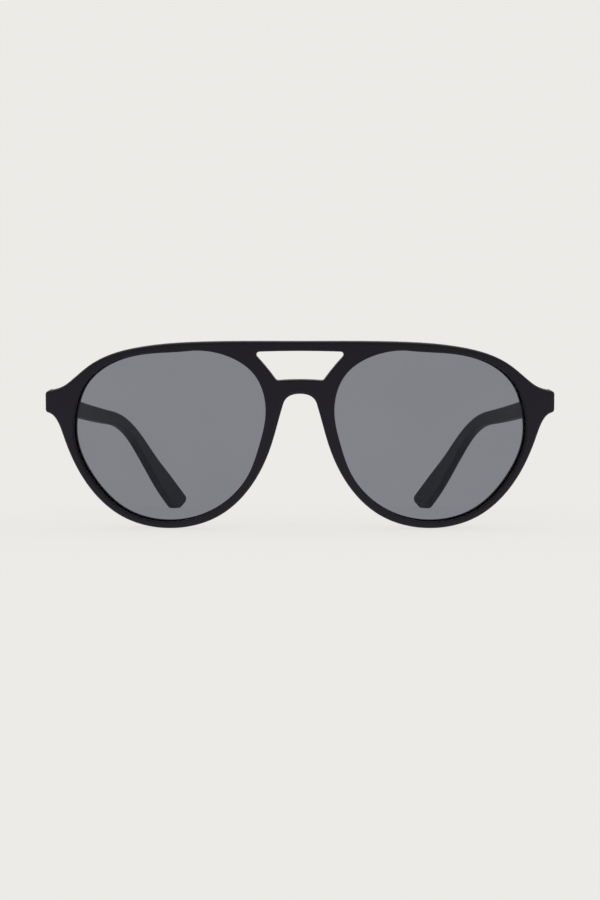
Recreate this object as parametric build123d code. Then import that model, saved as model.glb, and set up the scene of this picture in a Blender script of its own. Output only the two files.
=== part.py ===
from build123d import *
import math
import os

# Aviator sunglasses with a double bridge, cut from cellulose acetate sheet, in millimetres.
# +Z is up and the lenses face -Y, so the temples run back along +Y when they are open.
# Sides are named by the wearer: right is -X and left is +X.
# The origin is under the middle of the open glasses, on the surface that they stand on.

# ---- Lens shape: a box that the lens just fills, and points on its edge ----
LENS_WIDTH = 55.3
LENS_HEIGHT = 48.9
BRIDGE_WIDTH = 19.2          # least distance between the two lenses
LENS_SETTLE = -0.95          # how far the lens box's middle sits above the front's origin

# Points on the lens edge, from the top and round the nose side: half widths towards the
# temple, half heights up, and the width of the rim that is left outside the lens there.
LENS_EDGE = [
    (-0.20, 1.00, 2.1),
    (-0.60, 0.945, 3.8),
    (-0.89, 0.725, 0),
    (-1.00, 0.325, 4.5),
    (-0.94, -0.055, 3.25),
    (-0.805, -0.455, 2.4),
    (-0.50, -0.82, 2.2),
    (-0.01, -1.00, 1.8),
    (0.475, -0.885, 1.7),
    (0.82, -0.51, 1.9),
    (0.99, -0.07, 2.6),
    (0.965, 0.35, 0),
    (0.895, 0.555, 0),
    (0.755, 0.735, 2.45),
    (0.295, 0.95, 1.8),
]
NOSE_SIDE, TEMPLE_SIDE, BROW_SIDE = 3, 10, 13

# ---- Front ----
FACE_RADIUS = 200.0          # the front is pressed to a piece of this sphere
FRONT_THICKNESS = 3.8
TILT = 7.0                   # the front's top leans forwards
STAND_HEIGHT = 26.25         # front's origin above the table when the glasses stand open
BROW_RISE = 2.6              # top bar above the lenses, at the middle
BROW_DROP = 0.3              # and how much lower it is over each lens
OUTER_ROUNDING = 0.9
WINDOW_ROUNDING = 0.45
OPENING_ROUNDING = 0.25
BROW_SLOPE = 0.15             # fall of the end piece's top edge where it ends
UNDER_SLOPE = 0.35            # and of its lower edge
ARCH_HEIGHT = 11.6           # underside of the lower bridge
ARCH_HALF = 4.7              # where the arch springs from the nose side of the rim
ARCH_SPRING = 8.7
ARCH_LEAN = (-0.3, 1.0)
HOLE_TOP = 23.5              # window between the two bridges
HOLE_BOTTOM = 15.5
HOLE_TOP_HALF = 13.3
HOLE_BOTTOM_HALF = 6.5
HOLE_BOW = 0.3               # rise of its top and bottom edges
HOLE_CORNER = 0.9

# ---- End pieces, which carry the hinges ----
ENDPIECE_REACH = 8.1         # beyond the lens
ENDPIECE_HEIGHT = 6.4
ENDPIECE_LEVEL = 7.95        # its middle above the front's origin
ENDPIECE_INNER = 0.8         # its inner wall beyond the lens
ENDPIECE_CORNER = 1.0
# Where the rim runs into the end piece: distance beyond the lens, and distance above the end
# piece's top edge or below its lower edge.
UPPER_RUN = [(-0.3, 3.8), (3.4, 1.2), (ENDPIECE_REACH, -0.1)]
LOWER_RUN = [(ENDPIECE_REACH, -0.5), (6.2, 0.25), (4.7, 1.9), (3.2, 5.3)]
JOINT_DEPTH = 20.1           # front's origin to the joint faces, along the front's depth

# ---- Lenses ----
LENS_THICKNESS = 2.0
LENS_SETBACK = 1.2           # lens face behind the rim's face
LENS_SEAT = 0.5              # how far the lens edge reaches into the rim's groove
LENS_FIT = 0.05              # room on each face of the lens in the groove
GROOVE_FLOOR = 0.06          # room beyond the lens edge

# ---- Nose pads ----
PAD_LENGTH = 17.0
PAD_DEPTH = 3.6              # how far they stand out behind the rim
PAD_WIDTH = 2.4
PAD_SHIFT = 0.3              # off the middle of the rim, towards the nose
PAD_EDGE_POINTS = (4, 5)     # they sit between these two points of the lens edge

# ---- Temples, along their own +Y from the joint face ----
TEMPLE_LENGTH = 146.5        # along its middle, from the joint face
TEMPLE_BOW = 367.0           # plan radius, hollow side inwards
BEHIND_BEND = 72.0           # from the start of the bend to the temple's end
BEND_RADIUS = 54.7
BEND_ANGLE = 31.3
TEMPLE_INSET = 0.3           # outer face behind the end piece's outer face
TEMPLE_THICKNESS = 3.4
TIP_THICKNESS = 2.8
TEMPLE_ROUNDING = 0.8
# Heights of the straight part, at shares of its length, and of the part behind the start of
# the bend, at distances before the temple's end.
SHAFT_HEIGHTS = [(0, 6.25), (0.27, 5.35), (0.54, 4.9), (0.76, 4.75), (0.92, 4.55)]
TIP_HEIGHTS = [(66.5, 4.35), (54.5, 4.65), (42.5, 5.7), (30.5, 6.9), (18.5, 8.5)]
# The tip below its top edge: distance before the end, and distance off the middle line.
TIP_NOSE = (0, 4.5)
HEEL_BACK = (3.35, -1.5)
HEEL_LENGTH = 5.0
NOSE_ROUNDING = 1.7
HEEL_ROUNDING = 4.0
JOINT_GAP = 0.08

# ---- Hinges ----
KNUCKLES = 5
KNUCKLE_HEIGHT = 0.9
KNUCKLE_GAP = 0.05
KNUCKLE_RADIUS = 1.25
PIN_RADIUS = 0.6
PIN_FIT = 0.03
PIN_INBOARD = 1.45           # pin's axis from the temple's inner face
PIN_BEHIND = 1.5             # pin's axis behind the joint face
SCREW_HEAD_RADIUS = 1.05
SCREW_HEAD_HEIGHT = 0.5
SCREW_SLOT = 0.25
FRONT_TANG_DEPTH = 3.6
LEAF_THICKNESS = 0.8
LEAF_HALF_HEIGHT = 2.0
LEAF_START = 0.6
LEAF_END = 8.5
SEAT_FIT = 0.02              # between each metal piece and its pocket

# ---- Core wires ----
CORE_THICKNESS = 1.0
CORE_HEIGHT = 1.6
CORE_END_MARGIN = 14.0       # wire's end to the temple's end

SPHERE_CENTRE = (0, FACE_RADIUS, 0)
LENS_MIDDLE = BRIDGE_WIDTH / 2 + LENS_WIDTH / 2
LENS_OUTER = BRIDGE_WIDTH / 2 + LENS_WIDTH
FRONT_HALF = LENS_OUTER + ENDPIECE_REACH
HINGE_HEIGHT = KNUCKLES * KNUCKLE_HEIGHT + (KNUCKLES - 1) * KNUCKLE_GAP


def lens_point(u, v):
    """A point of the front, from half widths and half heights off the left lens's middle."""
    return LENS_MIDDLE + u * LENS_WIDTH / 2, LENS_SETTLE + v * LENS_HEIGHT / 2


def outward(index):
    """The direction away from the lens at one of its edge points."""
    before = LENS_EDGE[index - 1]
    after = LENS_EDGE[(index + 1) % len(LENS_EDGE)]
    x0, z0 = lens_point(before[0], before[1])
    x1, z1 = lens_point(after[0], after[1])
    length = math.hypot(x1 - x0, z1 - z0)
    return (z1 - z0) / length, (x0 - x1) / length


def lens_edge_point(index, grow):
    """One of the lens edge's points, moved outwards by grow."""
    x, z = lens_point(LENS_EDGE[index][0], LENS_EDGE[index][1])
    across, up = outward(index)
    return x + across * grow, z + up * grow


def rim_point(index):
    """The rim's outer edge beside one of the lens edge's points."""
    return lens_edge_point(index, LENS_EDGE[index][2])


def mirrored(shape):
    return mirror(shape, about=Plane.YZ)


def lens_cone(grow):
    """The left lens's outline, drawn on the front's face and narrowing to the sphere's middle."""
    ends = []
    for depth in (-4, 30):
        points = []
        for index in range(len(LENS_EDGE)):
            x, z = lens_edge_point(index, grow)
            on_face = math.sqrt(FACE_RADIUS**2 - x * x - z * z)
            scale = (FACE_RADIUS - depth) / on_face
            points.append((x * scale, depth, z * scale))
        ends.append(Face(Wire([Spline(points, periodic=True)])))
    return loft(ends, ruled=True)


def shell(outer_depth, thickness):
    """The layer between two depths behind the front's face."""
    outer = Sphere(FACE_RADIUS - outer_depth)
    inner = Sphere(FACE_RADIUS - outer_depth - thickness)
    return Pos(*SPHERE_CENTRE) * (outer - inner)


def front_outline():
    """The left half of the front's outer edge, as a closed face in the XZ plane."""
    lens_top = LENS_SETTLE + LENS_HEIGHT / 2
    brow = lens_top + BROW_RISE
    top = ENDPIECE_LEVEL + ENDPIECE_HEIGHT / 2
    bottom = ENDPIECE_LEVEL - ENDPIECE_HEIGHT / 2
    upper = Spline(
        [
            (0, brow),
            (LENS_MIDDLE - LENS_WIDTH / 6, brow - BROW_DROP),
            rim_point(len(LENS_EDGE) - 1),
            rim_point(BROW_SIDE),
        ]
        + [(LENS_OUTER + beyond, top + above) for beyond, above in UPPER_RUN],
        tangents=[(1, 0), (1, -BROW_SLOPE)],
        tangent_scalars=(1, 1),
    )
    lower = Spline(
        [(LENS_OUTER + beyond, bottom - below) for beyond, below in LOWER_RUN]
        + [rim_point(index) for index in range(TEMPLE_SIDE, NOSE_SIDE - 1, -1)]
        + [(ARCH_HALF, ARCH_SPRING)],
        tangents=[(-1, -UNDER_SLOPE), ARCH_LEAN],
        tangent_scalars=(1, 1),
    )
    end = Line(upper @ 1, lower @ 0)
    arch = Spline([lower @ 1, (0, ARCH_HEIGHT)], tangents=[ARCH_LEAN, (-1, 0)])
    half = make_face([upper, end, lower, arch, Line((0, ARCH_HEIGHT), (0, brow))])
    corners = [vertex for vertex in half.vertices() if vertex.X > FRONT_HALF - 0.01]
    return Plane.XZ * fillet(corners, ENDPIECE_CORNER)


def bridge_window():
    """The opening between the top bar and the lower bridge."""
    top = ThreePointArc(
        (-HOLE_TOP_HALF, HOLE_TOP - HOLE_BOW),
        (0, HOLE_TOP),
        (HOLE_TOP_HALF, HOLE_TOP - HOLE_BOW),
    )
    bottom = ThreePointArc(
        (-HOLE_BOTTOM_HALF, HOLE_BOTTOM - HOLE_BOW),
        (0, HOLE_BOTTOM),
        (HOLE_BOTTOM_HALF, HOLE_BOTTOM - HOLE_BOW),
    )
    middle_height = (HOLE_TOP + HOLE_BOTTOM) / 2 - HOLE_BOW
    middle_half = (HOLE_TOP_HALF + HOLE_BOTTOM_HALF) / 2 - 0.3
    sides = []
    for side in (-1, 1):
        sides.append(
            ThreePointArc(
                (side * HOLE_TOP_HALF, HOLE_TOP - HOLE_BOW),
                (side * middle_half, middle_height),
                (side * HOLE_BOTTOM_HALF, HOLE_BOTTOM - HOLE_BOW),
            )
        )
    face = make_face([top, bottom] + sides)
    face = fillet(face.vertices(), HOLE_CORNER)
    return Plane.XZ * face


def through(face):
    """A face of the XZ plane pushed right through the front."""
    return extrude(Pos(0, -8, 0) * face, 60, dir=(0, 1, 0))


def front_to_table(shape):
    """From the front's own frame, where it stands upright, to the open glasses' frame."""
    return Pos(0, 0, STAND_HEIGHT) * Rot(TILT, 0, 0) * shape


JOINT_FACE = front_to_table(Location((0, JOINT_DEPTH, ENDPIECE_LEVEL))).position
TEMPLE_OUTER = FRONT_HALF - TEMPLE_INSET
TEMPLE_INNER = TEMPLE_OUTER - TEMPLE_THICKNESS
PIN_X = TEMPLE_INNER - PIN_INBOARD
BEND_START = TEMPLE_LENGTH - BEHIND_BEND
BEND_RUN = BEND_RADIUS * math.radians(BEND_ANGLE)


def temple_point(run, offset):
    """A point of a temple's side view: run along its middle line, offset square to it."""
    turn = min(max(run - BEND_START, 0), BEND_RUN) / BEND_RADIUS
    past = max(run - BEND_START - BEND_RUN, 0)
    along = min(run, BEND_START) + BEND_RADIUS * math.sin(turn) + past * math.cos(turn)
    down = BEND_RADIUS * (1 - math.cos(turn)) + past * math.sin(turn)
    return along + offset * math.sin(turn), offset * math.cos(turn) - down


def drop_to_table(along, up):
    """The slope, in degrees, that brings a point of a temple's side view down to the table."""
    lift = math.asin(JOINT_FACE.Z / math.hypot(along, up))
    return math.degrees(lift + math.atan2(up, along))


HEEL_END = temple_point(TEMPLE_LENGTH - HEEL_BACK[0], HEEL_BACK[1])
TEMPLE_DROP = drop_to_table(*HEEL_END)


def temple_to_table(shape):
    """From a temple's own frame, straight behind its joint face, to the open glasses' frame."""
    return Pos(0, JOINT_FACE.Y, JOINT_FACE.Z) * Rot(-TEMPLE_DROP, 0, 0) * shape


def block(x0, x1, y0, y1, z0, z1):
    """A box from its six faces."""
    return Pos((x0 + x1) / 2, (y0 + y1) / 2, (z0 + z1) / 2) * Box(x1 - x0, y1 - y0, z1 - z0)


TEMPLE_REACH = temple_point(TEMPLE_LENGTH, 0)[0]


def plan_x(along, share):
    """Across the glasses: 0 is a temple's outer face there and 1 is its inner face."""
    bow = TEMPLE_BOW - math.sqrt(TEMPLE_BOW**2 - along**2)
    taper = (TEMPLE_THICKNESS - TIP_THICKNESS) * along / TEMPLE_REACH
    return TEMPLE_OUTER - bow - share * (TEMPLE_THICKNESS - taper)


def plan_curve(start, end, share, shift=0):
    """An arc along a temple, seen from above."""
    points = []
    for along in (start, (start + end) / 2, end):
        points.append((plan_x(along, share) + shift, along))
    return ThreePointArc(*points)


def bowed(side_face, start, end, shares, shifts):
    """A side view made solid between two of the plan's curves."""
    outer = plan_curve(start, end, shares[0], shifts[0])
    inner = plan_curve(start, end, shares[1], shifts[1])
    plan = make_face([outer, inner, Line(outer @ 0, inner @ 0), Line(outer @ 1, inner @ 1)])
    side = extrude(Plane.YZ * side_face, TEMPLE_OUTER + 10)
    return side & extrude(Pos(0, 0, -100) * plan, 200)


def temple_heights():
    """Stations along a temple's middle line, each with the temple's height there."""
    heights = [(share * BEND_START, height) for share, height in SHAFT_HEIGHTS]
    return heights + [(TEMPLE_LENGTH - back, height) for back, height in TIP_HEIGHTS]


def temple_side():
    """The side view of a temple, from the joint face to the nose and heel of its tip."""
    slope = math.radians(BEND_ANGLE)
    drop = math.radians(TEMPLE_DROP)
    down_tip = (math.cos(slope), -math.sin(slope))
    heights = temple_heights()
    above = [temple_point(run + JOINT_GAP, height / 2) for run, height in heights]
    below = [temple_point(run + JOINT_GAP, -height / 2) for run, height in heights]
    nose = temple_point(TEMPLE_LENGTH - TIP_NOSE[0], TIP_NOSE[1])
    heel_front = (
        HEEL_END[0] - HEEL_LENGTH * math.cos(drop),
        HEEL_END[1] - HEEL_LENGTH * math.sin(drop),
    )
    top = Spline(above + [nose], tangents=[(1, 0), down_tip], tangent_scalars=(1, 1))
    bottom = Spline(below + [heel_front], tangents=[(1, 0), down_tip], tangent_scalars=(1, 1))
    under = Polyline(bottom @ 1, HEEL_END, top @ 1)
    side = make_face([top, under, bottom, Line(top @ 0, bottom @ 0)])
    corners = side.vertices().sort_by(Axis.X)[-3:]
    side = fillet(corners[2], NOSE_ROUNDING)
    corners = side.vertices().filter_by(lambda v: v.X < HEEL_END[0] + 0.01).sort_by(Axis.X)[-2:]
    return fillet(corners, HEEL_ROUNDING)


def core_side(start, end, half):
    """The side view of a core wire: straight, round the bend and straight again."""
    bend_end = BEND_START + BEND_RUN
    edges = []
    for offset in (-half, half):
        edges.append(Line(temple_point(start, offset), temple_point(BEND_START, offset)))
        edges.append(
            ThreePointArc(
                temple_point(BEND_START, offset),
                temple_point(BEND_START + BEND_RUN / 2, offset),
                temple_point(bend_end, offset),
            )
        )
        edges.append(Line(temple_point(bend_end, offset), temple_point(end, offset)))
    for run in (start, end):
        edges.append(Line(temple_point(run, -half), temple_point(run, half)))
    return make_face(edges)


def core_wire(room):
    """The left temple's core wire, or its channel where room is more than nothing."""
    half = CORE_HEIGHT / 2 + room
    side = core_side(LEAF_END - room, TEMPLE_LENGTH - CORE_END_MARGIN + room, half)
    shift = CORE_THICKNESS / 2 + room
    return bowed(side, 0, TEMPLE_REACH, (0.5, 0.5), (shift, -shift))


def knuckle_level(index):
    """The underside of one knuckle of the hinge."""
    return index * (KNUCKLE_HEIGHT + KNUCKLE_GAP) - HINGE_HEIGHT / 2


def knuckle(index):
    upright = Cylinder(KNUCKLE_RADIUS, KNUCKLE_HEIGHT, align=(Align.CENTER, Align.CENTER, Align.MIN))
    return Pos(PIN_X, PIN_BEHIND, knuckle_level(index)) * upright


def bore(index, radius):
    drill = Cylinder(radius, KNUCKLE_HEIGHT, align=(Align.CENTER, Align.CENTER, Align.MIN))
    return Pos(PIN_X, PIN_BEHIND, knuckle_level(index)) * drill


def front_tang(room):
    """The plate that is sunk in the end piece, or its slot where room is more than nothing."""
    half = HINGE_HEIGHT / 2 + room
    return block(
        PIN_X - KNUCKLE_RADIUS - room,
        PIN_X + room,
        -FRONT_TANG_DEPTH - room,
        0.0,
        -half,
        half,
    )


def front_hinge():
    """The left front hinge leaf: a tang with the bottom, middle and top knuckles."""
    leaf = front_tang(0)
    for index in range(0, KNUCKLES, 2):
        level = knuckle_level(index)
        leaf += knuckle(index)
        leaf += block(
            PIN_X - KNUCKLE_RADIUS, PIN_X, -1.0, PIN_BEHIND, level, level + KNUCKLE_HEIGHT
        )
        # The bottom knuckle is the tapped one, so the screw fills it.
        leaf -= bore(index, PIN_RADIUS if index == 0 else PIN_RADIUS + PIN_FIT)
    return leaf


def temple_leaf(room):
    """The plate let into the temple and its anchor for the core wire, or their pocket."""
    core_middle = plan_x(LEAF_END, 0.5)
    plate = block(
        TEMPLE_INNER - (1.0 if room else 0),
        TEMPLE_INNER + LEAF_THICKNESS + room,
        LEAF_START - room,
        LEAF_END + room,
        -LEAF_HALF_HEIGHT - room,
        LEAF_HALF_HEIGHT + room,
    )
    anchor = block(
        TEMPLE_INNER + LEAF_THICKNESS - 0.1,
        core_middle + CORE_THICKNESS / 2 + room,
        LEAF_END / 2 - room,
        LEAF_END + room,
        -CORE_HEIGHT / 2 - room,
        CORE_HEIGHT / 2 + room,
    )
    return plate + anchor


def temple_hinge():
    """The left temple hinge leaf, with the two knuckles between the front leaf's three."""
    leaf = temple_leaf(0)
    for index in range(1, KNUCKLES, 2):
        level = knuckle_level(index)
        leaf += knuckle(index)
        leaf += block(
            PIN_X,
            TEMPLE_INNER + 0.1,
            PIN_BEHIND - KNUCKLE_RADIUS / 2,
            PIN_BEHIND + KNUCKLE_RADIUS,
            level,
            level + KNUCKLE_HEIGHT,
        )
        leaf -= bore(index, PIN_RADIUS + PIN_FIT)
    return leaf


def hinge_screw():
    """The screw that is the hinge's pin, with a slotted head on top of the knuckles."""
    shank = Cylinder(PIN_RADIUS, HINGE_HEIGHT)
    head = Cylinder(
        SCREW_HEAD_RADIUS, SCREW_HEAD_HEIGHT, align=(Align.CENTER, Align.CENTER, Align.MIN)
    )
    head = fillet(head.edges().filter_by(GeomType.CIRCLE).sort_by(Axis.Z)[-1], 0.15)
    top = HINGE_HEIGHT / 2 + SCREW_HEAD_HEIGHT
    slot = block(-SCREW_HEAD_RADIUS, SCREW_HEAD_RADIUS, -0.15, 0.15, top - SCREW_SLOT, top)
    return Pos(PIN_X, PIN_BEHIND, 0) * (shank + Pos(0, 0, HINGE_HEIGHT / 2) * head - slot)


def temple():
    """The left temple, with its leaf's pocket and its core wire's channel."""
    body = bowed(temple_side(), 0, TEMPLE_REACH + TIP_THICKNESS, (0, 1), (0, 0))
    long_edges = body.edges().filter_by(GeomType.BSPLINE)
    body = fillet(long_edges, TEMPLE_ROUNDING)
    return body - temple_leaf(SEAT_FIT) - core_wire(SEAT_FIT)


def front_blank():
    """The front before its lenses: pressed to the sphere, hollow behind, with end pieces."""
    blank = through(front_outline()) & (Pos(*SPHERE_CENTRE) * Sphere(FACE_RADIUS))
    face = blank.faces().sort_by(Axis.Y)[0]
    rim_edges = face.edges().filter_by(lambda edge: edge.center().X > 0.01)
    blank = fillet(rim_edges, OUTER_ROUNDING)
    hollow = Pos(*SPHERE_CENTRE) * Sphere(FACE_RADIUS - FRONT_THICKNESS)
    endpiece = block(
        LENS_OUTER + ENDPIECE_INNER,
        FRONT_HALF + 1,
        -8,
        60,
        ENDPIECE_LEVEL - ENDPIECE_HEIGHT / 2,
        ENDPIECE_LEVEL + ENDPIECE_HEIGHT / 2,
    )
    return blank - (hollow - endpiece)


def lens():
    """The left lens: a shell whose edge reaches into the rim's groove."""
    return lens_cone(LENS_SEAT) & shell(LENS_SETBACK, LENS_THICKNESS)


def lens_groove():
    room = lens_cone(LENS_SEAT + GROOVE_FLOOR)
    return room & shell(LENS_SETBACK - LENS_FIT, LENS_THICKNESS + 2 * LENS_FIT)


def nose_pad():
    """The left nose pad, glued to the back of the rim beside the nose."""
    middles = []
    for index in PAD_EDGE_POINTS:
        x0, z0 = lens_edge_point(index, 0)
        x1, z1 = rim_point(index)
        middles.append(((x0 + x1) / 2, (z0 + z1) / 2))
    (x0, z0), (x1, z1) = middles
    lean = math.atan2(x1 - x0, z0 - z1)
    x = (x0 + x1) / 2 - PAD_SHIFT * math.cos(lean)
    z = (z0 + z1) / 2 - PAD_SHIFT * math.sin(lean)
    back = FACE_RADIUS - FRONT_THICKNESS
    depth = FACE_RADIUS - math.sqrt(back**2 - x * x - z * z)
    pad = scale(Sphere(1), by=(PAD_WIDTH / 2, PAD_DEPTH, PAD_LENGTH / 2))
    pad = Pos(x, depth, z) * Rot(0, -math.degrees(lean), 0) * pad
    return pad & (Pos(*SPHERE_CENTRE) * Sphere(back))


def front_face(half):
    """The face of the front that looks forwards: of its two large ones, the nearer."""
    large = half.faces().filter_by(GeomType.SPHERE).sort_by(SortBy.AREA)[-2:]
    return large.sort_by(lambda face: face.center().Y)[0]


def in_window(edge):
    middle = edge.center()
    beside = 0.01 < middle.X < HOLE_TOP_HALF + WINDOW_ROUNDING
    return beside and HOLE_BOTTOM - HOLE_CORNER < middle.Z < HOLE_TOP + HOLE_CORNER


def opened_front():
    """The front with its window and lens openings, their edges rounded over in front."""
    half = front_blank() - lens_cone(0) - through(bridge_window())
    half = fillet(front_face(half).edges().filter_by(in_window), WINDOW_ROUNDING)
    opening = front_face(half).inner_wires()[0].edges()
    return fillet(opening, OPENING_ROUNDING)


def front_frame():
    """The whole front, from its left half and that half's mirror image."""
    half = front_to_table(opened_front() - lens_groove())
    half -= temple_to_table(block(-100, 100, 0, 60, -60, 60))
    half -= temple_to_table(front_tang(SEAT_FIT))
    return half + mirrored(half)


def placed():
    """Every piece in the open glasses' frame: both sides of whatever comes in pairs."""
    front = front_frame()
    pieces = {"front_frame": front}
    pairs = {
        "lens": front_to_table(lens()),
        "nose_pad": front_to_table(nose_pad()),
        "temple": temple_to_table(temple()),
        "core_wire": temple_to_table(core_wire(0)),
        "front_hinge": temple_to_table(front_hinge()),
        "temple_hinge": temple_to_table(temple_hinge()),
        "hinge_screw": temple_to_table(hinge_screw()),
    }
    for name, left in pairs.items():
        pieces[name + "_left"] = left
        pieces[name + "_right"] = mirrored(left)
    return pieces


def export_all():
    """Write one STEP per piece, moved so that the origin is under the glasses' middle."""
    os.makedirs("parts", exist_ok=True)
    pieces = placed()
    temples = pieces["temple_left"].bounding_box()
    front = pieces["front_frame"].bounding_box()
    lowest = min(temples.min.Z, front.min.Z)
    middle = (front.min.Y + temples.max.Y) / 2
    for name, piece in pieces.items():
        export_step(Pos(0, -middle, -lowest) * piece, f"parts/{name}.step")


export_all()
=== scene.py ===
# %% [markdown]
# # Aviator sunglasses in matte black acetate
# The glasses stand open on a pale table. They are one front with two bridges, two tinted
# lenses, two glued nose pads, and two temples that fold on small screw hinges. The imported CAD
# model gives every shape and place. This lesson gives each piece its finish, then lights the
# glasses and sets the camera.

# %% Load the frame
import math

import bpy
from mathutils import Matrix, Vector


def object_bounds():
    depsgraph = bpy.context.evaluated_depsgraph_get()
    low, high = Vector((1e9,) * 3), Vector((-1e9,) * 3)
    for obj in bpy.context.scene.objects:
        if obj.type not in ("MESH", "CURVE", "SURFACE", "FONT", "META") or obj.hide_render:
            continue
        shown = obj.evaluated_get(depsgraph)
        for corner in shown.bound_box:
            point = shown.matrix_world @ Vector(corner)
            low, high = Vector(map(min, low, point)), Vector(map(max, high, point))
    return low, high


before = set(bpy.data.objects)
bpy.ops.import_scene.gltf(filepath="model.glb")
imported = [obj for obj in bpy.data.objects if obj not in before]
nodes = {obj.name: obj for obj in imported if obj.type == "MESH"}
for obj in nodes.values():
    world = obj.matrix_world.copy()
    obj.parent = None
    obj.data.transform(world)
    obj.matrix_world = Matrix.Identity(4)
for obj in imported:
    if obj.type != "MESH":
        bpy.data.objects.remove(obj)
cad_low, cad_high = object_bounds()
MM = 0.001
print("CAD box in mm:", [round(side / MM, 1) for side in cad_high - cad_low])
print("nodes:", ", ".join(sorted(nodes)))

# %% [markdown]
# ## Colours and shader nodes
# A colour is written as the sRGB hex value that a paint chart gives. Light adds up in linear
# values, so one function turns a hex value into the linear colour that a shader wants. A
# second function adds any kind of shader node, with its settings and its links, because a
# function for each kind of node would only repeat it.


# %% Helper functions
def linear(hex_colour):
    """An sRGB hex colour as linear red, green and blue, with full alpha."""
    channels = []
    for start in (1, 3, 5):
        value = int(hex_colour[start:start + 2], 16) / 255
        channels.append(value / 12.92 if value <= 0.04045 else ((value + 0.055) / 1.055) ** 2.4)
    return (*channels, 1.0)


def add_node(tree, kind, settings=None, links=None):
    """One shader node: settings are properties or socket values, links feed its sockets."""
    node = tree.nodes.new(kind)
    for name, value in (settings or {}).items():
        if hasattr(node, name):
            setattr(node, name, value)
        else:
            node.inputs[name].default_value = value
    for name, source in (links or {}).items():
        tree.links.new(source, node.inputs[name])
    return node


def new_material(name, base, sockets):
    """A material with one Principled shader, whose plain sockets are set directly."""
    material = bpy.data.materials.new(name)
    material.use_nodes = True
    tree = material.node_tree
    shader = tree.nodes["Principled BSDF"]
    shader.inputs["Base Color"].default_value = linear(base)
    for socket, value in sockets.items():
        shader.inputs[socket].default_value = value
    return material, tree, shader


def drive(tree, value, low, high, socket):
    """Let a pattern's 0 to 1 value move a shader socket between two values."""
    spread = add_node(
        tree, "ShaderNodeMapRange", {"To Min": low, "To Max": high}, {"Value": value}
    )
    tree.links.new(spread.outputs["Result"], socket)


def raise_surface(tree, height, depth, strength, shader):
    """Let a pattern's 0 to 1 value stand for a relief of a real depth."""
    bump = add_node(
        tree, "ShaderNodeBump", {"Strength": strength, "Distance": depth}, {"Height": height}
    )
    tree.links.new(bump.outputs["Normal"], shader.inputs["Normal"])


def position(tree):
    """Places on the object in metres, so a pattern's scale can come from a real size."""
    return add_node(tree, "ShaderNodeTexCoord").outputs["Object"]


print("helpers ready; #808080 is", [round(channel, 3) for channel in linear("#808080")[:3]])

# %% [markdown]
# ## Cellulose acetate, tumbled matte
# The front and the temples are cut from acetate sheet, a dense plastic with an index of about
# 1.48. A glossy front is finished with days in a drum of oiled wooden pegs. A matte one gets
# a last drum of fine pumice, which leaves an even scuff: no sharp reflection, only a soft
# sheen. It could be a plain rough plastic, but then every part shines the same. Here a fine
# noise moves the roughness and raises a very small relief, at 0.25 mm, the finest scuff that
# still breaks up the sheen. Black sheet is never quite neutral. Its pigment is a little
# violet, and that shows where the table lights it.

# %% Acetate
SCUFF_SIZE = 0.25 * MM
SCUFF_DEPTH = 0.02 * MM
SCUFF_STRENGTH = 0.12
SCUFF_ROUGHNESS = (0.42, 0.52)
BLACK_SHEET = "#18151F"
ACETATE = {"IOR": 1.48, "Specular IOR Level": 0.2}
acetate, tree, shader = new_material("tumbled_black_acetate", BLACK_SHEET, ACETATE)
scuff = add_node(
    tree,
    "ShaderNodeTexNoise",
    {"Scale": 1 / SCUFF_SIZE, "Detail": 3.0, "Roughness": 0.6},
    {"Vector": position(tree)},
)
drive(tree, scuff.outputs["Fac"], *SCUFF_ROUGHNESS, shader.inputs["Roughness"])
raise_surface(tree, scuff.outputs["Fac"], SCUFF_DEPTH, SCUFF_STRENGTH, shader)
print("made", acetate.name, "with a scuff of", SCUFF_SIZE / MM, "mm")

# %% [markdown]
# ## Nose pads
# The pads are moulded from the same acetate and glued on, then polished by hand, because
# they lie on skin. They are the same black with a lower roughness and a longer, softer wave
# from the buff, a few millimetres from crest to crest.

# %% Hand-buffed acetate
BUFF_WAVE = 3.0 * MM
BUFF_ROUGHNESS = (0.22, 0.3)
buffed, tree, shader = new_material("hand_buffed_black_acetate", BLACK_SHEET, ACETATE)
buff = add_node(
    tree, "ShaderNodeTexNoise", {"Scale": 1 / BUFF_WAVE}, {"Vector": position(tree)}
)
drive(tree, buff.outputs["Fac"], *BUFF_ROUGHNESS, shader.inputs["Roughness"])
print("made", buffed.name)

# %% [markdown]
# ## Tinted lenses
# Each lens is a two millimetre shell of resin with an index of 1.5 and a cool grey dye. It is
# a closed solid, so light really refracts at both faces, and each polished face reflects a
# few percent of it. The lens lets about a quarter of the light through, which is a category 2
# sun lens. An even tint looks like a flat filter. Real dye takes up a little unevenly, so a
# slow cloud of a few centimetres shifts it by a few percent. The faces carry an
# anti-reflection coating. It is far thinner than a mesh can be, so it is a darker tint on
# what the faces reflect.

# %% Lens
DYE_CLOUD = 30 * MM
DYE_DENSE = "#878991"
DYE_THIN = "#8D8F97"
COATING = "#8A909B"
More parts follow.
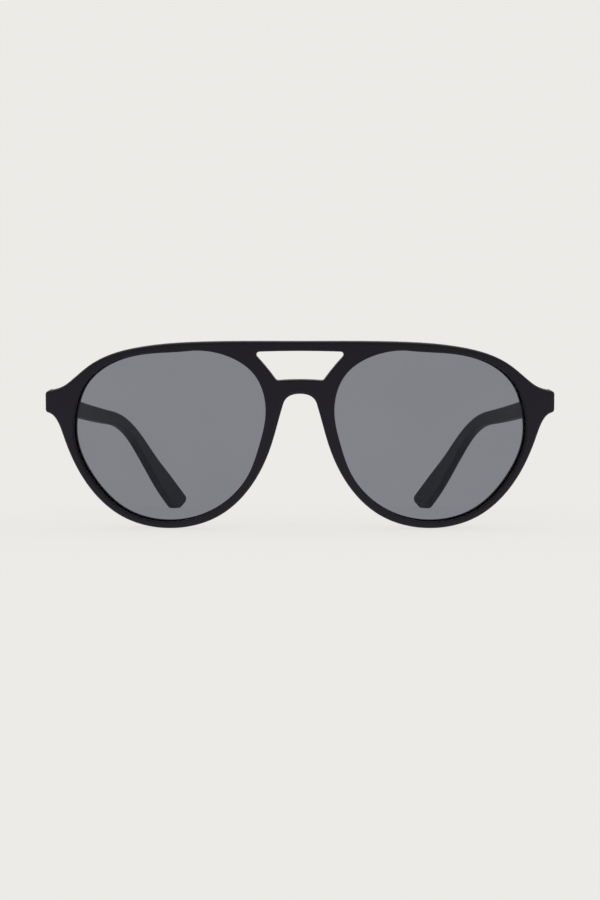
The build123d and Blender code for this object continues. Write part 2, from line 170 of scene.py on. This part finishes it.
# A Mix node has sockets of the same name for numbers, vectors and colours, so the colour ones
# are picked by their place.
COLOUR_A, COLOUR_B, COLOUR_RESULT = 6, 7, 2
lens_grey, tree, shader = new_material(
    "dyed_grey_resin_polished",
    DYE_DENSE,
    {"Roughness": 0.0, "IOR": 1.5, "Transmission Weight": 1.0},
)
shader.inputs["Specular Tint"].default_value = linear(COATING)
cloud = add_node(
    tree, "ShaderNodeTexNoise", {"Scale": 1 / DYE_CLOUD, "Detail": 1.0}, {"Vector": position(tree)}
)
dye = add_node(
    tree, "ShaderNodeMix", {"data_type": "RGBA"}, {"Factor": cloud.outputs["Fac"]}
)
dye.inputs[COLOUR_A].default_value = linear(DYE_DENSE)
dye.inputs[COLOUR_B].default_value = linear(DYE_THIN)
tree.links.new(dye.outputs[COLOUR_RESULT], shader.inputs["Base Color"])
print("made", lens_grey.name, "which passes about", round(linear(DYE_DENSE)[1], 2), "of green")

# %% [markdown]
# ## Core wires and hinge leaves
# Both are nickel silver, a copper alloy with nickel and zinc that has no silver in it. The
# core wire is drawn flat, so its grain runs along it. The leaves are stamped and tumbled, so
# theirs has no direction. A metal's colour is its reflection, so it is fully metallic and
# keeps the default index.

# %% Nickel silver
DRAW_LINE = 0.15 * MM
DRAW_STRETCH = 0.03  # the pattern's scale along the wire, as a share of its scale across
DRAW_ROUGHNESS = (0.25, 0.42)
TUMBLE_MARK = 0.4 * MM
TUMBLE_DEPTH = 0.01 * MM
TUMBLE_STRENGTH = 0.15
TUMBLE_ROUGHNESS = (0.24, 0.38)
wire, tree, shader = new_material("drawn_nickel_silver", "#BDB6A6", {"Metallic": 1.0})
stretched = add_node(
    tree, "ShaderNodeMapping", {"Scale": (1.0, DRAW_STRETCH, 1.0)}, {"Vector": position(tree)}
)
lines = add_node(
    tree,
    "ShaderNodeTexNoise",
    {"Scale": 1 / DRAW_LINE, "Detail": 2.0},
    {"Vector": stretched.outputs["Vector"]},
)
drive(tree, lines.outputs["Fac"], *DRAW_ROUGHNESS, shader.inputs["Roughness"])

leaf, tree, shader = new_material("tumbled_nickel_silver", "#B9B2A4", {"Metallic": 1.0})
marks = add_node(
    tree,
    "ShaderNodeTexNoise",
    {"Scale": 1 / TUMBLE_MARK, "Detail": 3.0},
    {"Vector": position(tree)},
)
drive(tree, marks.outputs["Fac"], *TUMBLE_ROUGHNESS, shader.inputs["Roughness"])
raise_surface(tree, marks.outputs["Fac"], TUMBLE_DEPTH, TUMBLE_STRENGTH, shader)
print("made", wire.name, "and", leaf.name)

# %% [markdown]
# ## Hinge screws
# A hinge screw is turned from stainless steel, so its tool marks are rings. On a head two
# millimetres across they are far too fine to see singly. They only spread the highlight, so a
# fine noise in the roughness stands for them.

# %% Steel
TOOL_MARK = 0.08 * MM
TURNED_ROUGHNESS = (0.2, 0.34)
steel, tree, shader = new_material("turned_stainless_steel", "#A9A9AC", {"Metallic": 1.0})
rings = add_node(
    tree, "ShaderNodeTexNoise", {"Scale": 1 / TOOL_MARK, "Detail": 2.0}, {"Vector": position(tree)}
)
drive(tree, rings.outputs["Fac"], *TURNED_ROUGHNESS, shader.inputs["Roughness"])
print("made", steel.name)

# %% [markdown]
# ## Finishes on the pieces
# Each CAD piece keeps its own mesh and place, because its shape is right, and only gets a
# material. A left piece and its right twin share one name stem, so one table serves both.

# %% Assign the finishes
FINISHES = {
    "front_frame": acetate,
    "temple": acetate,
    "nose_pad": buffed,
    "lens": lens_grey,
    "core_wire": wire,
    "front_hinge": leaf,
    "temple_hinge": leaf,
    "hinge_screw": steel,
}
for name, node in nodes.items():
    stem = name.removesuffix("_left").removesuffix("_right")
    node.data.materials.clear()
    node.data.materials.append(FINISHES[stem])
print("finished", len(nodes), "pieces")

# %% [markdown]
# ## Table
# The table is a sheet of white acrylic with light under it, as for packshots. Most of its
# brightness is its own, so only faint contact shadows are left where the rims and temple
# tips touch it. A plain sheet would need a far stronger lamp, and then the black glasses
# would turn grey.

# %% Light table
TABLE_SIZE = 60.0
OWN_LIGHT = 0.82
floor_material, tree, shader = new_material(
    "white_opal_acrylic", "#706F6D", {"Roughness": 1.0, "Specular IOR Level": 0.0}
)
shader.inputs["Emission Color"].default_value = linear("#ECEBE8")
shader.inputs["Emission Strength"].default_value = OWN_LIGHT
bpy.ops.mesh.primitive_plane_add(size=TABLE_SIZE, location=(0, 0, 0))
floor = bpy.context.object
floor.name = "light_table"
floor.data.materials.append(floor_material)
print("made", floor.name)

# %% [markdown]
# ## Room, lamp and flag
# The room is white all round, and one very broad lamp overhead stands for the soft box, so no
# shadow has a hard edge. A black surface shows only what it reflects, so a photographer hangs a
# dark flag behind the camera. This flag is a sheet of painted reflection that only reflections
# see. It glows white at its foot and dimmer upwards, so it paints a dark reflection on the front
# of the glasses, and no edge of it shows in the lenses.

# %% Room
ROOM_WHITE = "#ECEBE7"
world = bpy.data.worlds.new("studio")
world.use_nodes = True
world.node_tree.nodes["Background"].inputs["Color"].default_value = linear(ROOM_WHITE)
bpy.context.scene.world = world

LAMP_STRENGTH = 0.3
LAMP_SPREAD = 100  # degrees, as are the turns below
LAMP_TURN = (12, 8, 0)
lamp = bpy.data.lights.new("overhead_softbox", "SUN")
lamp.energy = LAMP_STRENGTH
lamp.angle = math.radians(LAMP_SPREAD)
lamp_object = bpy.data.objects.new("overhead_softbox", lamp)
lamp_object.rotation_euler = [math.radians(turn) for turn in LAMP_TURN]
bpy.context.scene.collection.objects.link(lamp_object)

FLAG_WIDTH = 5.0
FLAG_HEIGHT = 3.0
FLAG_DISTANCE = 0.62
FLAG_FADE = 0.30
FLAG_DARKEST = 0.1
# Painted reflection: the flag's glow, white at its foot and dim above, is seen only in
# reflections, where it paints shade on the front of the glasses.
reflection_sheet, tree, shader = new_material(
    "painted_reflection_flag", "#050505", {"Roughness": 1.0, "Specular IOR Level": 0.0}
)
shader.inputs["Emission Color"].default_value = linear(ROOM_WHITE)
place = add_node(tree, "ShaderNodeNewGeometry")
level = add_node(tree, "ShaderNodeSeparateXYZ", None, {"Vector": place.outputs["Position"]})
fade = add_node(
    tree,
    "ShaderNodeMapRange",
    {
        "interpolation_type": "SMOOTHSTEP",
        "From Max": FLAG_FADE,
        "To Min": 1.0,
        "To Max": FLAG_DARKEST,
    },
    {"Value": level.outputs["Z"]},
)
tree.links.new(fade.outputs["Result"], shader.inputs["Emission Strength"])
bpy.ops.mesh.primitive_plane_add(
    size=1, location=(0, -FLAG_DISTANCE, FLAG_HEIGHT / 2), rotation=(math.pi / 2, 0, 0)
)
flag = bpy.context.object
flag.name = "flag"
flag.scale = (FLAG_WIDTH, FLAG_HEIGHT, 1)
flag.data.materials.append(reflection_sheet)
flag.visible_camera = False
flag.visible_transmission = False
flag.visible_diffuse = False
flag.visible_shadow = False
print("made", world.name, lamp_object.name, "and", flag.name)

# %% [markdown]
# ## Camera
# The camera stands 450 mm in front, at the height of the lenses' middle, and looks almost
# level. From so low, the temples show through the lenses and run down to the table behind.

# %% Camera
SENSOR = 36.0
FOCAL_LENGTH = 64.6
CAMERA_DISTANCE = 450 * MM
CAMERA_HEIGHT = 24.48 * MM
BRIDGE_BEHIND_BROW = 1.43 * MM
CAMERA_DIP = 0.28  # degrees below level
NEAREST_SEEN = 10 * MM
scene = bpy.context.scene
scene.view_settings.view_transform = "Standard"
camera_data = bpy.data.cameras.new("camera")
camera_data.sensor_width = SENSOR
camera_data.lens = FOCAL_LENGTH
camera_data.clip_start = NEAREST_SEEN
camera = bpy.data.objects.new("camera", camera_data)
camera.location = (0, cad_low.y + BRIDGE_BEHIND_BROW - CAMERA_DISTANCE, CAMERA_HEIGHT)
camera.rotation_euler = (math.radians(90 - CAMERA_DIP), 0, 0)
scene.collection.objects.link(camera)
scene.camera = camera
print("camera at", [round(value, 3) for value in camera.location])
